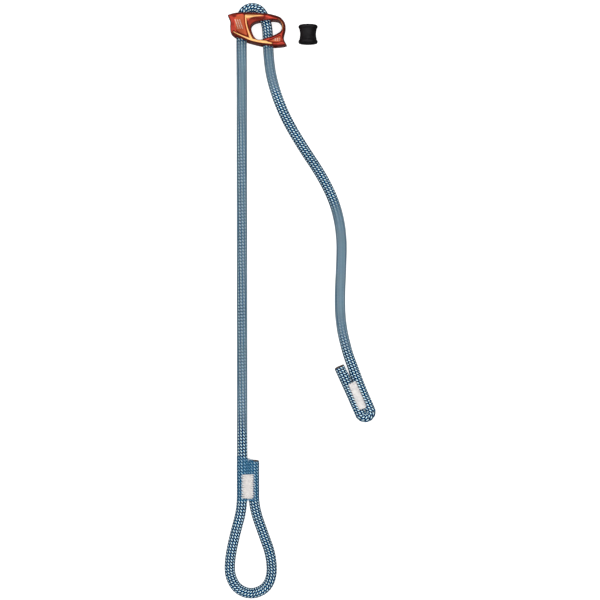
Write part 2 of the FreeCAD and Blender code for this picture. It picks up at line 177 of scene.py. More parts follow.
def dashes(s):
    """1 on the rows of plain dashes: short bars, in columns, where the marks show."""
    column, row, shown = s.split(s.attribute("marks", "Vector"))
    in_column = s.math("LESS_THAN", s.math("FRACT", column), 0.46)
    in_dash = s.math("LESS_THAN", s.math("FRACT", row), 0.62)
    return s.math("MULTIPLY", s.math("MULTIPLY", in_column, in_dash), s.math("GREATER_THAN", shown, 0.5))


def anodised_material():
    """Orange anodised aluminium: a pale gold painted highlight on the ridges and top faces, fine blasted
    floors, bare marks.
    """
    s = Shader("anodised_aluminium")
    place = s.place()
    cloud = s.noise(place, 90.0, 4.0)
    grain = s.noise(place, 2600.0, 2.0)
    scratch = s.noise(place, 420.0, 5.0, 0.65)
    # Painted highlight: the crest mask, broken up by noise, lays the pale gold on the highest faces.
    crest_highlight = s.math("MULTIPLY", s.attribute("crest"), s.vary(s.noise(place, 260.0), 0.70, 0.95))
    blasted = s.attribute("blasted")
    base = s.mix(cloud, DYE_DEEP, DYE_BRIGHT)
    base = s.mix(crest_highlight, base, PAINTED_HIGHLIGHT)
    base = s.mix(blasted, base, DYE_BLASTED)
    base = s.mix(s.math("MULTIPLY", dashes(s), 0.85), base, BARE_MARK)
    rough = s.math("ADD", s.vary(scratch, 0.17, 0.27), s.math("MULTIPLY", blasted, 0.26))
    normal = s.bump(grain, 0.00003, 0.35, s.bump(cloud, 0.00012, 0.2))
    return s.finish(Base_Color=base, Metallic=0.95, Roughness=rough, Normal=normal)


def sheath_material():
    """The braid's yarns: white and navy one way round the rope, two blues the other way."""
    s = Shader("braided_sheath")
    u, v, _ = s.split(s.node("ShaderNodeUVMap", uv_map="braid").outputs[0])
    climb = s.math("MULTIPLY", u, YARN_CLIMB)
    right, left = s.math("ADD", climb, v), s.math("SUBTRACT", climb, v)
    leans_right = s.math("LESS_THAN", s.math("FRACT", u), 0.5)
    white = s.math("LESS_THAN", s.math("FRACT", right), WHITE_SHARE)
    blue = s.math("LESS_THAN", s.math("FRACT", left), 0.5)
    colour = s.mix(leans_right, s.mix(blue, YARN_INK, YARN_BLUE), s.mix(white, YARN_NAVY, YARN_WHITE))

    def crown(lean):
        """1 on a yarn's crown, falling to 0 at its edge."""
        side = s.math("SUBTRACT", s.math("FRACT", s.math("MULTIPLY", lean, 2.0)), 0.5)
        return s.math("SUBTRACT", 1.0, s.math("MULTIPLY", s.math("ABSOLUTE", side), 2.0))

    def fibres(across, along):
        """Fine streaks that run along a yarn."""
        return s.noise(s.vector(s.math("MULTIPLY", across, 16.0), s.math("MULTIPLY", along, 1.6)), 1.0, 2.0)

    # Painted shade: each yarn's colour is darkened towards its edges, where the grooves between the yarns
    # are.
    shade = s.spread(s.mix(leans_right, crown(left), crown(right), "FLOAT"), 0.0, 0.4, 0.45, 1.0)
    fibre = s.mix(leans_right, fibres(left, right), fibres(right, left), "FLOAT")
    dye = s.vary(s.noise(s.place(), 60.0), 0.88, 1.08)
    # The tone is that painted groove shade times fibre streaks and a random dye variation.
    tone = s.math("MULTIPLY", s.math("MULTIPLY", shade, s.vary(fibre, 0.92, 1.05)), dye)
    colour = s.mix(1.0, colour, s.vector(tone, tone, tone), blend="MULTIPLY")
    return s.finish(Base_Color=colour, Roughness=s.vary(fibre, 0.48, 0.7),
                    Normal=s.bump(fibre, 0.00005, 0.2), Specular_IOR_Level=0.03)


def thread_material():
    """White polyester thread, twisted, slightly soiled."""
    s = Shader("bonded_thread")
    place = s.place()
    twist = s.noise(place, 3200.0, 2.0)
    soil = s.noise(place, 300.0, 3.0)
    base = s.mix(s.spread(soil, 0.35, 0.7), THREAD_CLEAN, THREAD_SOILED)
    return s.finish(Base_Color=base, Roughness=s.vary(twist, 0.42, 0.62),
                    Normal=s.bump(twist, 0.00008, 0.6), Sheen_Weight=0.2)


def sleeve_material():
    """Clear shrink sleeve; it makes the rope under it look darker and bluer, but not the thread."""
    s = Shader("clear_shrink")
    place = s.place()
    haze = s.noise(place, 120.0, 3.0)
    over_thread = s.attribute("over_thread")
    base = s.mix(over_thread, s.mix(haze, FILM_DEEP, FILM_PALE), FILM_OVER_THREAD)
    return s.finish(Base_Color=base, Roughness=s.vary(haze, 0.10, 0.24), Specular_IOR_Level=0.3,
                    Alpha=s.spread(over_thread, 0.0, 1.0, 0.32, 0.06),
                    Normal=s.bump(s.noise(place, 260.0), 0.0003, 0.35))


def seal_material():
    """Melted polyamide at a hot-cut rope end."""
    s = Shader("melted_rope_end")
    burn = s.noise(s.place(), 700.0, 4.0)
    base = s.mix(s.spread(burn, 0.35, 0.65), MELT_DARK, MELT_BROWN)
    return s.finish(Base_Color=base, Roughness=s.vary(burn, 0.28, 0.6), Normal=s.bump(burn, 0.0003, 0.6))


def rubber_material():
    """Moulded black rubber, dusty in patches."""
    s = Shader("moulded_rubber")
    place = s.place()
    dust = s.noise(place, 240.0, 5.0, 0.6)
    pores = s.noise(place, 3000.0, 2.0)
    base = s.mix(s.spread(dust, 0.45, 0.75), RUBBER_BLACK, RUBBER_DUSTY)
    return s.finish(Base_Color=base, Roughness=s.vary(dust, 0.42, 0.6),
                    Normal=s.bump(pores, 0.00005, 0.5), Specular_IOR_Level=0.24)


def floor_material():
    """Pale studio paper that glows a little, so that it renders white."""
    s = Shader("pale_floor")
    paper = s.mix(s.noise(s.place(), 40.0), FLOOR_DARK, FLOOR_PALE)
    return s.finish(Base_Color=paper, Roughness=0.9, Emission_Color=FLOOR_GLOW, Emission_Strength=0.88)


# ------------------------------------------------------------------- mesh building

def add_mesh(name, points, faces, material):
    """A smooth object; its faces are an array of quads, or a list of faces of any kind."""
    mesh = bpy.data.meshes.new(name)
    mesh.from_pydata(points.tolist(), [], faces.tolist() if isinstance(faces, np.ndarray) else faces)
    mesh.materials.append(material)
    mesh.shade_smooth()
    mesh.update()
    made = bpy.data.objects.new(name, mesh)
    bpy.context.scene.collection.objects.link(made)
    return made


def add_attribute(made, name, values):
    """Give each point of an object a number, or a vector when the values have columns."""
    kind, field = ("FLOAT", "value") if values.ndim == 1 else ("FLOAT_VECTOR", "vector")
    layer = made.data.attributes.new(name, kind, "POINT")
    layer.data.foreach_set(field, values.astype(np.float32).ravel())


def grid_faces(rows, columns):
    """Quads between neighbouring rings of points; each ring closes on itself."""
    row = np.arange(rows - 1)[:, None] * columns
    here = np.arange(columns)[None, :]
    after = (here + 1) % columns
    quads = np.stack([row + here, row + after, row + columns + after, row + columns + here], axis=-1)
    return quads.reshape(-1, 4)


def closed_faces(rows, columns):
    """The same, with quads from the last ring back to the first as well."""
    closing = grid_faces(2, columns)
    closing = np.where(closing < columns, closing + (rows - 1) * columns, closing - columns)
    return np.concatenate([grid_faces(rows, columns), closing])


def turn_angles(sides):
    return np.linspace(0.0, 2.0 * np.pi, sides, endpoint=False)


def unit(vectors):
    return vectors / np.linalg.norm(vectors, axis=-1, keepdims=True)


def line_frame(points):
    """Directions along, beside and above a line that runs near level."""
    along = unit(np.gradient(points, axis=0))
    side = unit(np.cross(along, np.array([0.0, 0.0, 1.0])))
    return along, side, np.cross(side, along)


def spline_line(route):
    """Points of the smooth line that has the route's points as its control points."""
    curve = bpy.data.curves.new("route", "CURVE")
    curve.dimensions = "3D"
    curve.resolution_u = 32
    spline = curve.splines.new("NURBS")
    spline.points.add(len(route) - 1)
    for point, place in zip(spline.points, route):
        point.co = (place[0] * MM, place[1] * MM, place[2] * MM, 1.0)
    spline.order_u = 3
    spline.use_endpoint_u = True
    carrier = bpy.data.objects.new("route", curve)
    bpy.context.scene.collection.objects.link(carrier)
    mesh = bpy.data.meshes.new_from_object(carrier)
    line = np.array([vertex.co[:] for vertex in mesh.vertices])
    bpy.data.objects.remove(carrier)
    bpy.data.curves.remove(curve)
    bpy.data.meshes.remove(mesh)
    return line


def distances(line):
    """How far along the line each of its points lies."""
    return np.concatenate([[0.0], np.cumsum(np.linalg.norm(np.diff(line, axis=0), axis=1))])


def evenly(line, step):
    """The same line with its points an even step apart."""
    at = distances(line)
    wanted = np.linspace(0.0, at[-1], int(round(at[-1] / step)) + 1)
    return np.stack([np.interp(wanted, at, line[:, axis]) for axis in range(3)], axis=1)


def rise(value, low, high):
    """Smooth step from 0 at low to 1 at high."""
    share = np.clip((value - low) / (high - low), 0.0, 1.0)
    return share * share * (3.0 - 2.0 * share)


# ------------------------------------------------------------------ the rope's line
# The same points as in the model's source, in millimetres, from the sealed end in
# the sewn loop to the sealed end of the stopper. Pairs of points at the ends of the
# long straight, and a point on either side of the tight fold, keep the line straight.

def bollard_point(degrees):
    """A corner point of the wrap round the bollard; its corners are 40 degrees apart."""
    reach = WRAP_RADIUS / math.cos(math.radians(20.0))
    turn = math.radians(degrees)
    return (BOLLARD_X + reach * math.cos(turn), BOLLARD_Y + reach * math.sin(turn), FRAME_Z)


FOLD_CENTRE = np.array([85.55, -353.0, REST_Z])
FOLD_LEAN = math.radians(23.0)                # the stopper's lean from straight down
FOLD_DOWN = np.array([math.sin(FOLD_LEAN), -math.cos(FOLD_LEAN), 0.0])
FOLD_SIDE = np.array([-FOLD_DOWN[1], FOLD_DOWN[0], 0.0])
FOLD_RADIUS = 4.95


def fold_point(degrees, back=0.0):
    """A corner point of the stopper's fold, or a point back along its strands."""
    reach = FOLD_RADIUS / math.cos(math.radians(30.0))
    turn = math.radians(degrees)
    place = FOLD_CENTRE + FOLD_SIDE * reach * math.cos(turn) + FOLD_DOWN * reach * math.sin(turn)
    return tuple(place - FOLD_DOWN * back)


ROUTE = [
    (-17.5, -398.9, SLEEVE_Z), (-17.6, -419.7, SLEEVE_Z), (-17.35, -441.8, 5.1),
    (-8.5, -467.1, REST_Z), (-1.85, -485.2, REST_Z), (-0.45, -504.5, REST_Z),
    (-6.45, -517.2, REST_Z), (-19.85, -522.5, REST_Z), (-33.05, -517.5, REST_Z),
    (-39.85, -505.2, REST_Z), (-39.95, -490.2, REST_Z), (-35.15, -466.7, REST_Z),
    (-28.3, -442.3, SLEEVE_Z), (-28.35, -409.7, SLEEVE_Z), (-28.7, -90.7, REST_Z),
    (-28.75, -52.7, REST_Z), (-28.85, -14.7, FRAME_Z),
    bollard_point(160.0), bollard_point(120.0), bollard_point(80.0), bollard_point(40.0),
    (-5.05, 5.3, FRAME_Z), (-4.3, -14.7, FRAME_Z), (-3.45, -28.7, 8.3), (-1.35, -42.7, 6.1),
    (3.75, -60.7, REST_Z), (12.85, -82.7, REST_Z), (28.05, -108.2, REST_Z),
    (46.15, -135.2, REST_Z), (58.65, -161.7, REST_Z), (64.05, -189.7, REST_Z),
    (63.45, -218.7, REST_Z), (61.85, -248.7, REST_Z), (63.25, -273.7, REST_Z),
    (68.95, -297.7, REST_Z), (74.35, -312.2, REST_Z), (81.75, -332.2, REST_Z),
    fold_point(30.0, 5.7), fold_point(30.0), fold_point(90.0), fold_point(150.0), fold_point(150.0, 5.7),
    (71.95, -334.1, REST_Z), (61.75, -311.8, REST_Z),
]

rope_line = evenly(spline_line(ROUTE), ROPE_STEP * MM)
rope_at = distances(rope_line)
rope_along, rope_side, rope_up = line_frame(rope_line)


def rope_place(x, y):
    """The ring of the rope that lies nearest to a point."""
    gap = np.hypot(rope_line[:, 0] - x * MM, rope_line[:, 1] - y * MM)
    return int(np.argmin(gap))


# The rings where the model's source cuts the rope into stretches.
ROPE_START, ROPE_END = 0, len(rope_line) - 1
LOOP_TOP = rope_place(-28.4, -395.5)
WRAP_IN, WRAP_OUT = rope_place(-28.85, -1.0), rope_place(-4.55, -7.9)
STOPPER_TOP = rope_place(71.6, -304.9)
STRETCHES = {
    "rope_harness_loop": (ROPE_START, LOOP_TOP),
    "rope_load_strand": (LOOP_TOP, WRAP_IN),
    "rope_wrap": (WRAP_IN, WRAP_OUT),
    "rope_tail": (WRAP_OUT, STOPPER_TOP),
    "rope_stopper": (STOPPER_TOP, ROPE_END),
}


# ------------------------------------------------------------------------- the rope

def braid_count():
    """How many repeats of the braid lie before each ring of the rope."""
    on_load_strand = (rope_line[:, 0] < -20 * MM) * rise(rope_line[:, 1] / MM, -446.0, -436.0)
    repeats = (YARN_REPEAT + (DRAWN_REPEAT - YARN_REPEAT) * on_load_strand) * MM
    return np.concatenate([[0.0], np.cumsum(np.diff(rope_at) / repeats[1:])])


def braid_relief(u, v):
    """Height of the braid, 1 on a yarn's crown and 0 in a groove."""
    column = np.mod(u, 0.5) * 2.0
    lean = np.where(np.mod(u, 1.0) < 0.5, YARN_CLIMB * u + v, YARN_CLIMB * u - v)
    across = np.mod(lean * 2.0, 1.0) * 2.0 - 1.0
    crown = np.sqrt(np.clip(1.0 - 0.92 * across ** 2, 0.0, 1.0))
    dive = np.sin(np.pi * column) ** 0.55
    return crown * (0.25 + 0.75 * dive)


def pressed():
    """How far each ring of the rope is pressed towards a strand that lies beside it."""
    chunk, sparse = 200, 3
    same_strand, far, most = 25 * MM, 1.0, 0.6 * MM
    amounts = np.zeros(len(rope_line))
    for start in range(0, len(rope_line), chunk):
        part = slice(start, start + chunk)
        apart = np.linalg.norm(rope_line[part, None, :] - rope_line[None, ::sparse, :], axis=2)
        apart[np.abs(rope_at[part, None] - rope_at[None, ::sparse]) < same_strand] = far
        gap = apart.min(axis=1) - 2 * CROWN_RADIUS * MM
        amounts[part] = np.clip(gap / 2, 0.0, most) * rise(-gap / MM, -1.7, -1.1)
    return amounts


braid_at = braid_count()
press = pressed()


def rope_stretch(name, first, last, material):
    """The braided sheath over one stretch, its relief in the mesh and its pattern in the uv."""
    part = slice(first, last + 1)
    line, side, up, along = rope_line[part], rope_side[part], rope_up[part], braid_at[part]
    round_the_rope = np.arange(SIDES) / SIDES
    angle = round_the_rope * 2.0 * np.pi - np.pi / 2
    u, v = np.meshgrid(-round_the_rope * YARN_COLUMNS, along)
    u = u + TWIST * v
    radius = (CROWN_RADIUS - YARN_RELIEF * (1.0 - braid_relief(u, v))) * MM
    out = np.cos(angle)[None, :] * radius
    out = out + np.maximum(np.cos(angle), 0.0)[None, :] * press[part][:, None]
    lift = np.sin(angle)[None, :] * radius
    points = line[:, None, :] + side[:, None, :] * out[..., None] + up[:, None, :] * lift[..., None]
    points[..., 2] = np.maximum(points[..., 2], 0.0)
    made = add_mesh(name, points.reshape(-1, 3), grid_faces(len(line), SIDES), material)
    paint_braid(made, along)
    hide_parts(name + "_sheath", name + "_core")
    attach(made, "rope")
    return made, line


def paint_braid(made, along):
    """A uv that counts yarn columns round the rope and yarn repeats along it."""
    layer = made.data.uv_layers.new(name="braid")
    here, ring = np.meshgrid(np.arange(SIDES), np.arange(len(along) - 1))
    left, right = -here * YARN_COLUMNS / SIDES, -(here + 1) * YARN_COLUMNS / SIDES
    v_here, v_after = along[ring], along[ring + 1]
    v = np.stack([v_here, v_here, v_after, v_after], axis=-1)
    u = np.stack([left, right, right, left], axis=-1) + TWIST * v
    layer.data.foreach_set("uv", np.stack([u, v], axis=-1).astype(np.float32).ravel())


def seal(name, ring, outward, material):
    """The melted cap on a cut end: a domed, uneven disc."""
    centre, across, above = rope_line[ring], rope_side[ring], rope_up[ring]
    away = rope_along[ring] * outward
    rings, sides = 14, 64
    dome = 1.15
    share = np.linspace(0.0, 1.0, rings)[:, None]
    angle = turn_angles(sides)[None, :]
    wobble = 1.0 + 0.035 * np.sin(3 * angle + 0.7) + 0.02 * np.sin(7 * angle)
    rounding = (1.0 - share ** 3.0) ** 0.45
    radius = ROPE_RADIUS * MM * 0.99 * rounding * (wobble * (1 - share * 0.3) + 0.3 * share)
    pits = 0.10 * np.sin(5 * angle + 9 * share) * np.sin(9 * share + 2 * angle)
    height = (dome * np.sin(share * np.pi / 2) + pits * share) * MM
    points = (centre + across * (np.cos(angle) * radius)[..., None]
              + above * (np.sin(angle) * radius)[..., None] + away * height[..., None])
    points[..., 2] = np.maximum(points[..., 2], 0.0)
    made = add_mesh(name, points.reshape(-1, 3), grid_faces(rings, sides), material)
    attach(made, "rope")
    return made


def build_rope():
    sheath = sheath_material()
    melted = seal_material()
    made = {name: rope_stretch(name, first, last, sheath) for name, (first, last) in STRETCHES.items()}
    caps = {"loop": seal("loop_end_cap", ROPE_START, -1.0, melted),
            "stopper": seal("stopper_end_cap", ROPE_END, 1.0, melted)}
    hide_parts("loop_end_seal")
    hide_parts("stopper_end_seal")
    return made, caps


# ------------------------------------------------------------------------ stitching
# A patch starts in the middle of its first row. Its first pass has the full width,
# and the others have the inner share of it. The dip is how deep each needle hole pulls.

Patch = namedtuple("Patch", "top along length width inner turns thread dip")
PASSES = 4
POINTS_PER_TURN = 7


def tube(points, radius, sides=8):
    """Points and faces of a slightly flat tube along a line, closed at both ends."""
    _, side, up = line_frame(points)
    angle = turn_angles(sides)
    rings = (points[:, None, :] + side[:, None, :] * (np.cos(angle) * radius)[None, :, None]
             + up[:, None, :] * (np.sin(angle) * radius * 0.8)[None, :, None])
    faces = [tuple(quad) for quad in grid_faces(len(points), sides)]
    last = (len(points) - 1) * sides
    faces.append(tuple(range(sides))[::-1])
    faces.append(tuple(range(last, last + sides)))
    return rings.reshape(-1, 3), faces


def zigzag_line(patch, number, crown, upward, rng):
    """One pass of zigzag lockstitch, from side to side of its patch."""
    across = np.array([-patch.along[1], patch.along[0], 0.0])
    pitch = patch.length / (2 * patch.turns)
    shift = number / PASSES
    line = []
    for i in range(2 * patch.turns):
        sign = 1.0 if i % 2 else -1.0
        reach = patch.width / 2 * (1.0 + rng.uniform(-0.13, 0.04)) * (patch.inner if number else 1.0)
        start_row = (i + shift) * pitch + rng.uniform(-0.05, 0.05)
        end_row = (i + 1 + shift) * pitch
        for t in np.linspace(0.0, 1.0, POINTS_PER_TURN, endpoint=False):
            place = patch.top + patch.along * (start_row + (end_row - start_row) * t)
            edge = abs(1.0 - 2.0 * t)
            dip = patch.dip * edge ** 6 + 0.25 * (1.0 - edge) + 0.10 * (number % 2)
            height = np.array([0.0, 0.0, crown - upward * dip])
            line.append(place - across * sign * reach * (1.0 - 2.0 * t) + height)
    return np.array(line) * MM


def zigzag(name, patch, crown, upward, material, seed):
    """Passes of stitches that bridge two strands, on the face that looks up or down."""
    rng = np.random.default_rng(seed)
    all_points, all_faces, count = [], [], 0
    for number in range(PASSES):
        points, faces = tube(zigzag_line(patch, number, crown, upward, rng), patch.thread * MM / 2)
        all_points.append(points)
        all_faces += [tuple(i + count for i in face) for face in faces]
        count += len(points)
    made = add_mesh(name, np.concatenate(all_points), all_faces, material)
    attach(made, "rope")
    return made


def build_stitching():
    thread = thread_material()
    low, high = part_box("loop_stitching_top")
    loop = Patch(top=np.array([(low.x + high.x) / 2 / MM, high.y / MM - 0.3, 0.0]),
                 along=np.array([0.0, -1.0, 0.0]), length=(high.y - low.y) / MM - 1.0,
                 width=12.6, inner=0.80, turns=13, thread=0.62, dip=0.12)
    length = 25.6
    top = FOLD_CENTRE * np.array([1, 1, 0]) - FOLD_DOWN * (4.1 + length) - FOLD_SIDE * 0.8
    stopper = Patch(top=top, along=FOLD_DOWN, length=length,
                    width=8.6, inner=0.92, turns=20, thread=0.56, dip=0.15)
    loop_up, loop_down = SLEEVE_Z + ROPE_RADIUS + 0.1, SLEEVE_Z - ROPE_RADIUS - 0.1
    made = {
        "loop_stitching_top": zigzag("loop_zigzag_top", loop, loop_up, 1.0, thread, 1),
        "loop_stitching_back": zigzag("loop_zigzag_back", loop, loop_down, -1.0, thread, 2),
        "stopper_stitching_top": zigzag("stopper_zigzag_top", stopper, 2 * ROPE_RADIUS + 0.1, 1.0, thread, 3),
        "stopper_stitching_back": zigzag("stopper_zigzag_back", stopper, 0.3, -1.0, thread, 4),
    }
    for node, piece in made.items():
        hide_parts(node)
    return made


# --------------------------------------------------------------------------- sleeve

SLEEVE_WALL = 0.3
SLEEVE_SLANT = 4.6               # how much lower its top edge is over the cut end
STITCHED_HALF = 4.6              # half the width over which the film lies on the stitches
TOOTH, TOOTH_PITCH = 1.2, 1.95   # the stitches' points at the sides of that patch
FILM_LIFT, FILM_DROP = 0.22, -0.05    # how far the stitches raise the film, on top and below


def build_sleeve():
    """A thin clear tube shrunk round both strands of the sewn loop."""
    low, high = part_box("clear_sleeve")
    rows_low, rows_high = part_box("loop_stitching_top")
    middle_x, middle_z = (low.x + high.x) / 2, (low.z + high.z) / 2
    outer = (high.z - low.z) / 2
    reach = (high.x - low.x) / 2 - outer
    stations, sides = 128, 96
    share = np.linspace(0.0, 1.0, stations)[:, None]
    angle = turn_angles(sides)[None, :]
    slant = SLEEVE_SLANT * MM * rise(np.cos(angle), -0.5, 0.5)
    y = high.y - slant + (low.y - high.y + slant) * share
    ripple = 0.05 * MM * np.sin(share * 31.0 + 2.0 * np.sin(angle)) * np.sin(angle * 3.0)
    flare = 0.05 * MM * (np.exp(-share * 30.0) + np.exp((share - 1.0) * 30.0))

    def skin(radius):
        """One face of the film, and how far each of its points lies over the stitches."""
        radius = radius + ripple - 0.1 * MM + flare
        x = middle_x + reach * np.tanh(np.cos(angle) * 4.0) + radius * np.cos(angle)
        tooth = np.abs(np.mod(y / (TOOTH_PITCH * MM) + 0.4 * np.sign(np.cos(angle)), 1.0) * 2.0 - 1.0)
        over = rise((STITCHED_HALF + TOOTH * tooth) * MM - np.abs(x - middle_x), -0.3 * MM, 0.3 * MM)
        over = over * rise(y - rows_low.y, -0.3 * MM, 0.5 * MM) * rise(rows_high.y - y, -0.1 * MM, 0.7 * MM)
        lift = np.where(np.sin(angle) > 0, FILM_LIFT, FILM_DROP) * MM
        z = middle_z + radius * np.sin(angle) + lift * over
        return np.stack([x, y, z, over], axis=-1)

    points = np.concatenate([skin(outer), skin(outer - SLEEVE_WALL * MM)[::-1]])
    faces = closed_faces(2 * stations, sides)
    made = add_mesh("shrink_sleeve", points[..., :3].reshape(-1, 3), faces, sleeve_material())
    add_attribute(made, "over_thread", points[..., 3].ravel())
    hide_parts("clear_sleeve")
    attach(made, "rope")
    return made


# -------------------------------------------------------------------- adjuster frame
# The forging is carved from distance fields in millimetres: its silhouette, the
# eye, the recesses and the passage for the rope, all blended with soft edges.

TOP_EDGE = [
    (-41.7, 13.3), (-35.35, 15.2), (-29.85, 15.9), (-22.55, 16.0), (-15.15, 15.7), (-4.85, 14.8),
    (5.55, 12.2), (9.45, 9.0), (11.6, 5.4), (12.0, -0.1), (10.75, -5.1), (10.55, -9.3),
    (13.3, -14.7),
]
LOWER_EDGE = [
    (13.3, -14.7), (8.05, -15.7), (-0.55, -16.0), (-9.65, -14.8), (-20.65, -12.1), (-29.85, -8.9),
    (-35.35, -6.5), (-38.6, -3.0), (-39.35, 2.3), (-39.25, 7.3), (-41.7, 13.3),
]
EYE = [
    (-19.95, 1.5), (-17.95, 5.3), (-13.15, 7.2), (-5.55, 8.1), (2.15, 8.5), (6.65, 7.0),
    (8.55, 2.7), (7.65, -1.5), (3.05, -4.7), (-4.55, -7.9), (-10.55, -9.9), (-14.55, -9.5),
    (-17.85, -5.9),
]
REAR_RECESS = [
    (-34.2, 11.4), (-29.5, 13.4), (-25.9, 12.6), (-25.7, 9.5), (-25.3, 5.8), (-24.1, 0.3), (-22.5, -5.4),
    (-22.7, -7.2), (-26.5, -6.0), (-31.6, -3.6), (-34.4, -0.6), (-35.3, 5.0),
]
FRONT_RECESS = [(-5.2, -11.3), (0.2, -8.9), (6.3, -5.9), (7.9, -7.0), (7.9, -12.2), (0.5, -12.9)]

# The raised lines of the faces.
RIB = [(-24.7, 12.2), (-24.4, 5.8), (-23.1, 0.3), (-21.3, -5.2), (-19.0, -9.8)]
RAIL = [
    (-35.8, -2.9), (-33.5, -4.3), (-26.2, -7.5), (-18.9, -10.4), (-10.5, -11.9), (-4.5, -12.6),
    (0.0, -13.8),
]
DOME = [(-23.6, 12.1), (-16.0, 12.2), (-8.5, 11.4)]
RING = [(8.8, -1.8), (9.4, 2.6), (7.6, 6.8), (4.6, 9.2)]

# How wide and deep the edges are rounded, and what each zone of the plan adds to that.
EDGE_WIDTH = {"plain": 2.2, "top": 2.7, "flank": 3.2, "right": 1.2, "nose": 1.6}
EDGE_DEPTH = {"plain": 2.0, "top": 2.6, "flank": 1.6, "right": 1.2, "nose": 0.6}
EYE_WIDTH = {"plain": 1.1, "above": 3.8, "below": 0.9}
EYE_DEPTH = {"plain": 1.1, "above": 1.4, "below": 1.4}
FACE_DROP = 0.75                 # from the raised lines down to the faces beside them
REAR_DEPTH, REAR_SLOPE = 2.5, 1.6    # the rear recess's depth, and how much less it is at the top
FRONT_DEPTH = 1.3

HALF_THICKNESS = 9.5
EDGE_BLEND, SLOT_BLEND = 0.9, 1.3    # how soft the corners between surfaces are
OUTER_DRAFT, EYE_DRAFT = 0.03, 0.02
SLOT_HALF, SLOT_CORNER, SLOT_CLEARANCE = 5.35, 3.6, 0.35    # the passage for the rope
TILT_RANGE = (-3.0, 8.0)         # degrees that the rope turns, seen from the frame
CELL = 0.34                      # the distance field's step
FIELD_LOW, FIELD_HIGH = (-43.0, -18.0, -10.6), (14.2, 17.8, 10.6)
FAR = 1e9


def smooth_run(points, closed=False, steps=10):
    """A smooth line through the points."""
    p = np.array(points, float)
    if closed:
        p = np.concatenate([p[-1:], p, p[:2]])
    else:
        p = np.concatenate([2 * p[:1] - p[1:2], p, 2 * p[-1:] - p[-2:-1]])
    t = np.linspace(0.0, 1.0, steps, endpoint=False)[:, None]
    out = []
    for a, b, c, d in zip(p, p[1:], p[2:], p[3:]):
        out.append(0.5 * (2 * b + (c - a) * t + (2 * a - 5 * b + 4 * c - d) * t ** 2
                          + (3 * b - a - 3 * c + d) * t ** 3))
    return np.concatenate(out)


def segment_gap(start, end, x, y):
    """Squared distance from a straight segment."""
    (ax, ay), (bx, by) = start, end
    dx, dy = bx - ax, by - ay
    t = np.clip(((x - ax) * dx + (y - ay) * dy) / (dx * dx + dy * dy), 0.0, 1.0)
    return (x - ax - dx * t) ** 2 + (y - ay - dy * t) ** 2


def line_distance(line, x, y):
    best = np.full(x.shape, FAR)
    for start, end in zip(line, line[1:]):
        best = np.minimum(best, segment_gap(start, end, x, y))
    return np.sqrt(best)


def outline_distance(outline, x, y):
    """Signed distance from a closed outline, negative inside it."""
    best = np.full(x.shape, FAR)
    inside = np.zeros(x.shape, bool)
    for (ax, ay), (bx, by) in zip(outline, np.roll(outline, -1, axis=0)):
        best = np.minimum(best, segment_gap((ax, ay), (bx, by), x, y))
        if ay != by:
            inside ^= ((ay > y) != (by > y)) & (x < ax + (bx - ax) * (y - ay) / (by - ay))
    return np.where(inside, -1.0, 1.0) * np.sqrt(best)


def soft_max(a, b, k):
    """The larger of two fields, with a soft corner where they cross."""
    h = np.clip(0.5 + 0.5 * (a - b) / k, 0.0, 1.0)
    return b + (a - b) * h + k * h * (1.0 - h)


def shoulder(share, depth):
    """How far a rounded edge has dropped; the share is 1 on the edge and 0 where the face starts."""
    return depth * (1.0 - np.sqrt(np.clip(1.0 - share ** 2, 0.0, 1.0)))


def passage_distance(x, y):
    """Distance from the band that the rope sweeps as the frame tilts."""
    near = (np.abs(rope_line[:, 0] + 18 * MM) < 30 * MM) & (rope_line[:, 1] > -40 * MM)
    every, tilts = 14, 7
    line = rope_line[near][::every, :2] / MM
    pivot = np.array([BOLLARD_X, BOLLARD_Y])
    best = np.full(x.shape, FAR)
    for degrees in np.linspace(*TILT_RANGE, tilts):
        c, s = math.cos(math.radians(degrees)), math.sin(math.radians(degrees))
        turned = (line - pivot) @ np.array([[c, s], [-s, c]]) + pivot
        best = np.minimum(best, line_distance(turned, x, y))
    return best - ROPE_RADIUS - SLOT_CLEARANCE


def raised(line, half_width, fade, x, y):
    """1 on a raised line, falling to 0 beside it."""
    return rise(-line_distance(smooth_run(line, steps=6), x, y), -half_width - fade, -half_width)


def plan_zones(x, y):
    """The zones of the plan where edges are rounder, each with a share from 0 to 1."""
    flank = rise(-x, 29.0, 36.0)
    return {
        "top": rise(y, 4.0, 12.0) * (1 - flank),
        "flank": flank,
        "right": rise(x, -4.0, 7.0),
        "nose": rise(x, -2.0, 5.0) * rise(-y, 5.0, 11.0),
        "above": rise(y, -7.0, 6.0) * rise(-x, -6.0, 8.0),
        "below": rise(x, -7.0, -1.0) * rise(-y, -2.0, 3.0),
    }


def zoned(sizes, zones):
    """A size over the plan: the plain one and what the zones add to it."""
    return sizes["plain"] + sum(size * zones[name] for name, size in sizes.items() if name != "plain")


def edge_drop(distance, width, depth, chamfer):
    """A rounded edge, or a chamfer where that cuts deeper."""
    share = 1.0 - np.clip(distance / width, 0.0, 1.0)
    return np.maximum(shoulder(share, depth), chamfer * depth * share)


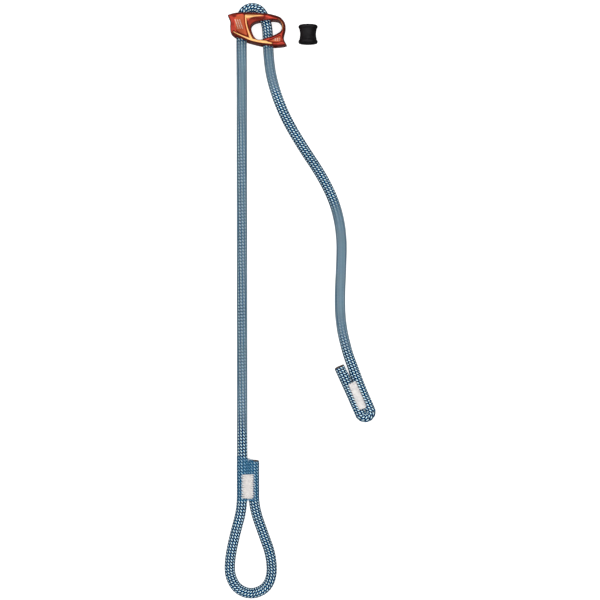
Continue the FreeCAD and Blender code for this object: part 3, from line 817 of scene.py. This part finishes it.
def face_height(x, y, edge, eye, rear, front):
    """Half thickness of the forging over its plan, its raised lines at full height."""
    broad = rise(x, -32.0, -14.0) * rise(-x, -1.0, 6.0)
    ridges = np.maximum(raised(RIB, 0.5 + 0.25 * rise(-y, -2.0, 8.0), 0.9, x, y),
                        raised(RAIL, 0.35 + 0.75 * broad, 0.9, x, y))
    ridges = np.maximum(ridges, raised(RING, 0.0, 0.8, x, y))
    dome = raised(DOME, 0.9, 3.2, x, y)
    zones = plan_zones(x, y)
    drop_edge = edge_drop(edge, zoned(EDGE_WIDTH, zones), zoned(EDGE_DEPTH, zones),
                          0.6 * zones["flank"] + 0.5 * zones["nose"])
    drop_eye = edge_drop(eye, zoned(EYE_WIDTH, zones), zoned(EYE_DEPTH, zones),
                         0.8 * (zones["above"] + zones["below"]))
    held_up = 0.85 * ridges * rise(edge, 0.5, 1.6) * rise(eye, 0.4, 1.3)
    drop = np.hypot(drop_edge, drop_eye) * (1.0 - held_up)
    drop = drop + FACE_DROP * (1.0 - np.maximum(ridges, dome))
    rear_floor = (REAR_DEPTH - REAR_SLOPE * rise(y, 2.0, 13.0)) * (0.1 + 0.9 * rise(x, -36.0, -25.0))
    drop = drop + rear_floor * rise(-rear, -0.2, 1.0)
    drop = drop + FRONT_DEPTH * rise(-front, -0.2, 1.0)
    return HALF_THICKNESS - drop


def surface_net(field, low, step):
    """Vertices and quads on the surface where the field changes sign."""
    inside = field < 0.0
    shape = tuple(n - 1 for n in field.shape)

    def corner(array, offset):
        return array[tuple(slice(o, o + n) for o, n in zip(offset, shape))]

    corners = [(i, j, k) for i in (0, 1) for j in (0, 1) for k in (0, 1)]
    total = sum(corner(inside, c).astype(np.int8) for c in corners)
    active = (total > 0) & (total < 8)
    cells = np.argwhere(active)
    number = np.full(shape, -1, np.int64)
    number[active] = np.arange(len(cells))
    sums, counts = np.zeros((len(cells), 3)), np.zeros(len(cells))
    for a in corners:
        for axis in range(3):
            if a[axis]:
                continue
            b = tuple(1 if n == axis else a[n] for n in range(3))
            fa, fb = corner(field, a)[active], corner(field, b)[active]
            cut = (fa < 0) != (fb < 0)
            t = fa[cut] / (fa[cut] - fb[cut])
            place = np.array(a, float)[None, :].repeat(cut.sum(), 0)
            place[:, axis] = t
            sums[cut] += place
            counts[cut] += 1
    points = (cells + sums / counts[:, None]) * step + low
    quads = []
    for axis in range(3):
        p, q = [n for n in range(3) if n != axis]
        first = [slice(None)] * 3
        second = [slice(None)] * 3
        first[axis], second[axis] = slice(0, -1), slice(1, None)
        change = inside[tuple(first)] != inside[tuple(second)]
        edges = np.argwhere(change)
        edges = edges[(edges[:, p] > 0) & (edges[:, q] > 0)
                      & (edges[:, p] < shape[p]) & (edges[:, q] < shape[q])]
        step_p, step_q = np.eye(3, dtype=int)[p], np.eye(3, dtype=int)[q]
        ring = [edges - step_p - step_q, edges - step_q, edges, edges - step_p]
        quad = np.stack([number[tuple(r.T)] for r in ring], axis=1)
        leaving = inside[tuple(edges.T)]
        flip = leaving if axis != 1 else ~leaving
        quad[~flip] = quad[~flip][:, ::-1]
        quads.append(quad)
    return points, np.concatenate(quads)


def relax(points, quads, share, rounds):
    """Even out the net's small steps."""
    edges = np.concatenate([quads[:, [a, b]] for a, b in ((0, 1), (1, 2), (2, 3), (3, 0))])
    edges = np.concatenate([edges, edges[:, ::-1]])
    count = np.bincount(edges[:, 0], minlength=len(points))[:, None]
    for _ in range(rounds):
        total = np.stack([np.bincount(edges[:, 0], points[edges[:, 1], n], len(points)) for n in range(3)], 1)
        points = points + share * (total / count - points)
    return points


def mark_rows(x, y):
    """For the rows of plain dashes in the recesses: columns, rows, and where they show."""
    column_pitch, row_pitch, slant = 2.0, 1.35, 0.34
    lean = x + slant * y
    rear = (lean > -32.6) & (lean < -26.4) & (y > 0.2) & (y < 8.4)
    front = (x > 1.0) & (x < 6.8) & (y > -11.2) & (y < -8.0)
    shown = (rear | front).astype(float)
    return np.stack([np.where(front, x, lean) / column_pitch, y / row_pitch, shown], axis=1)


def plan_reader(axes, points):
    """A function that reads a plan's values at the points."""
    i = (points[:, 0] - axes[0][0]) / CELL
    j = (points[:, 1] - axes[1][0]) / CELL
    i0 = np.clip(i.astype(int), 0, len(axes[0]) - 2)
    j0 = np.clip(j.astype(int), 0, len(axes[1]) - 2)
    a, b = i - i0, j - j0

    def read(plan):
        return ((1 - a) * (1 - b) * plan[i0, j0] + a * (1 - b) * plan[i0 + 1, j0]
                + (1 - a) * b * plan[i0, j0 + 1] + a * b * plan[i0 + 1, j0 + 1])

    return read


def build_adjuster():
    axes = [np.arange(a, b, CELL) for a, b in zip(FIELD_LOW, FIELD_HIGH)]
    x, y = np.meshgrid(axes[0], axes[1], indexing="ij")
    depth = np.abs(axes[2][None, None, :])
    silhouette = np.concatenate([smooth_run(TOP_EDGE), smooth_run(LOWER_EDGE)])
    edge = outline_distance(silhouette, x, y)
    eye = outline_distance(smooth_run(EYE, closed=True), x, y)
    rear = outline_distance(smooth_run(REAR_RECESS, closed=True, steps=6), x, y)
    front = outline_distance(smooth_run(FRONT_RECESS, closed=True, steps=6), x, y)
    height = face_height(x, y, -edge, eye, rear, front)
    passage = passage_distance(x, y)[..., None]
    slot = np.hypot(np.maximum(passage + SLOT_CORNER, 0.0),
                    np.maximum(depth - SLOT_HALF + SLOT_CORNER, 0.0)) - SLOT_CORNER
    slot = np.maximum(slot, np.maximum(passage, depth - SLOT_HALF))
    field = soft_max(edge[..., None] + OUTER_DRAFT * depth, depth - height[..., None], EDGE_BLEND)
    field = soft_max(field, -eye[..., None] - EYE_DRAFT * depth, EDGE_BLEND)
    field = soft_max(field, -slot, SLOT_BLEND)
    points, quads = surface_net(field, np.array([a[0] for a in axes]), CELL)
    points = relax(points, quads, 0.5, 3)
    read = plan_reader(axes, points)
    # The mask for the painted highlight: 1 on the faces near full height, where the pale gold is painted.
    crest = rise(np.abs(points[:, 2]), HALF_THICKNESS - 0.7, HALF_THICKNESS - 0.15)
    blasted = rise(-np.minimum(read(rear), read(front)), 0.4, 1.2)
    marks = mark_rows(points[:, 0], points[:, 1])
    points[:, 2] += HALF_THICKNESS
    made = add_mesh("forged_adjuster", points * MM, quads, anodised_material())
    add_attribute(made, "crest", crest)
    add_attribute(made, "blasted", blasted)
    add_attribute(made, "marks", marks)
    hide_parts("adjuster_frame")
    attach(made, "adjuster")
    return made


# ---------------------------------------------------------------------------- keeper

KEEPER_BORE = 5.0                # radius
KEEPER_WAIST = 1.5               # how much smaller the waist's radius is than the rims'


def build_keeper():
    """Rubber spool with rolled rims, turned about its own axis."""
    low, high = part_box("connector_keeper")
    centre = np.array([(low.x + high.x) / 2, (low.y + high.y) / 2, (low.z + high.z) / 2]) / MM
    half = (high.y - low.y) / 2 / MM
    rim = (high.z - low.z) / 2 / MM
    waist = rim - KEEPER_WAIST
    bore, throat = KEEPER_BORE, KEEPER_BORE - 0.15
    outer = [
        (half - 0.15, bore + 0.5), (half, bore + 1.2), (half, rim - 2.0), (half - 0.25, rim - 0.7),
        (half - 1.0, rim - 0.08), (half - 2.0, rim), (half - 2.9, rim - 0.15), (half - 3.5, rim - 0.75),
        (half - 4.3, rim - 0.95), (half - 6.6, waist + 0.22), (0.0, waist - 0.02),
    ]
    mirrored = [(-place, radius) for place, radius in outer[-2::-1]]
    inner = [
        (1.0 - half, bore), (4.0 - half, throat), (0.0, throat), (half - 4.0, throat), (half - 1.0, bore),
    ]
    line = smooth_run(outer + mirrored + inner, closed=True, steps=5)
    place, radius = line[:, 0][:, None], line[:, 1][:, None]
    sides = 96
    angle = turn_angles(sides)
    rings = np.stack([radius * np.cos(angle), place + 0 * angle, radius * np.sin(angle)], axis=-1)
    points = (rings + centre).reshape(-1, 3) * MM
    made = add_mesh("rubber_keeper", points, closed_faces(len(line), sides), rubber_material())
    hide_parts("connector_keeper")
    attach(made, "keeper")
    return made


# ---------------------------------------------------------------- floor, light, camera
# In metres from here on.

CAMERA_PLACE = (0.0252, -0.2494, 1.5)
FIELD_WIDTH = 0.558              # what the camera sees across at floor level
FLOOR_REACH = 4.0
LIGHT_AIM = (0.02, -0.2, 0.0)
LEFT = (-1.5, -0.3, 1.3)

# Each area light: its name, place, width, height, watts, and whether the metal mirrors it.
LIGHTS = [
    ("top_box", (-0.05, 1.5, 1.15), 0.8, 0.7, 24.0, False),
    ("left_box", LEFT, 1.5, 2.4, 7.0, True),
    ("left_fill", LEFT, 1.5, 2.4, 8.0, False),
    ("right_box", (1.5, -0.3, 1.3), 0.8, 1.4, 10.0, False),
    ("low_box", (0.1, -2.0, 1.2), 1.4, 0.7, 15.0, False),
]
# The sky's grey from the horizon, at 0, to straight up, at 1.
SKY = ((0.0, 0.10), (0.45, 0.22), (0.80, 0.46), (0.93, 1.35), (1.0, 1.7))
SKY_BLUENESS = 1.02


def build_floor():
    reach = FLOOR_REACH
    corners = np.array([(-reach, -reach, 0), (reach, -reach, 0), (reach, reach, 0), (-reach, reach, 0)])
    floor = add_mesh("floor", corners, [(0, 1, 2, 3)], floor_material())
    floor.visible_glossy = False
    floor.visible_diffuse = False


def build_lights():
    for name, place, width, height, power, mirrored in LIGHTS:
        data = bpy.data.lights.new(name, "AREA")
        data.shape = "RECTANGLE"
        data.size, data.size_y = width, height
        data.energy = power
        light = bpy.data.objects.new(name, data)
        light.location = place
        light.rotation_euler = (Vector(LIGHT_AIM) - Vector(place)).to_track_quat("-Z", "Y").to_euler()
        light.visible_glossy = mirrored
        bpy.context.scene.collection.objects.link(light)


def build_world():
    """Studio surroundings: a bright ceiling that falls away to a dark horizon."""
    world = bpy.data.worlds.new("studio")
    bpy.context.scene.world = world
    world.use_nodes = True
    tree = world.node_tree
    place = tree.nodes.new("ShaderNodeTexCoord")
    split = tree.nodes.new("ShaderNodeSeparateXYZ")
    ramp = tree.nodes.new("ShaderNodeValToRGB")
    tree.links.new(place.outputs["Generated"], split.inputs[0])
    tree.links.new(split.outputs["Z"], ramp.inputs[0])
    tree.links.new(ramp.outputs["Color"], tree.nodes["Background"].inputs["Color"])
    while len(ramp.color_ramp.elements) < len(SKY):
        ramp.color_ramp.elements.new(0.5)
    for element, (height, grey) in zip(ramp.color_ramp.elements, SKY):
        element.position = height
        element.color = rgb(grey, grey, grey * SKY_BLUENESS)


def build_camera():
    data = bpy.data.cameras.new("camera")
    camera = bpy.data.objects.new("camera", data)
    camera.location = CAMERA_PLACE
    data.angle = 2 * math.atan(FIELD_WIDTH / 2 / CAMERA_PLACE[2])
    bpy.context.scene.collection.objects.link(camera)
    bpy.context.scene.camera = camera
    bpy.context.scene.view_settings.view_transform = "Standard"


# ------------------------------------------------------------------------- assembly

build_camera()
rope, caps = build_rope()
stitching = build_stitching()
sleeve = build_sleeve()
build_adjuster()
build_keeper()

build_floor()
build_world()
build_lights()

bpy.context.view_layer.update()
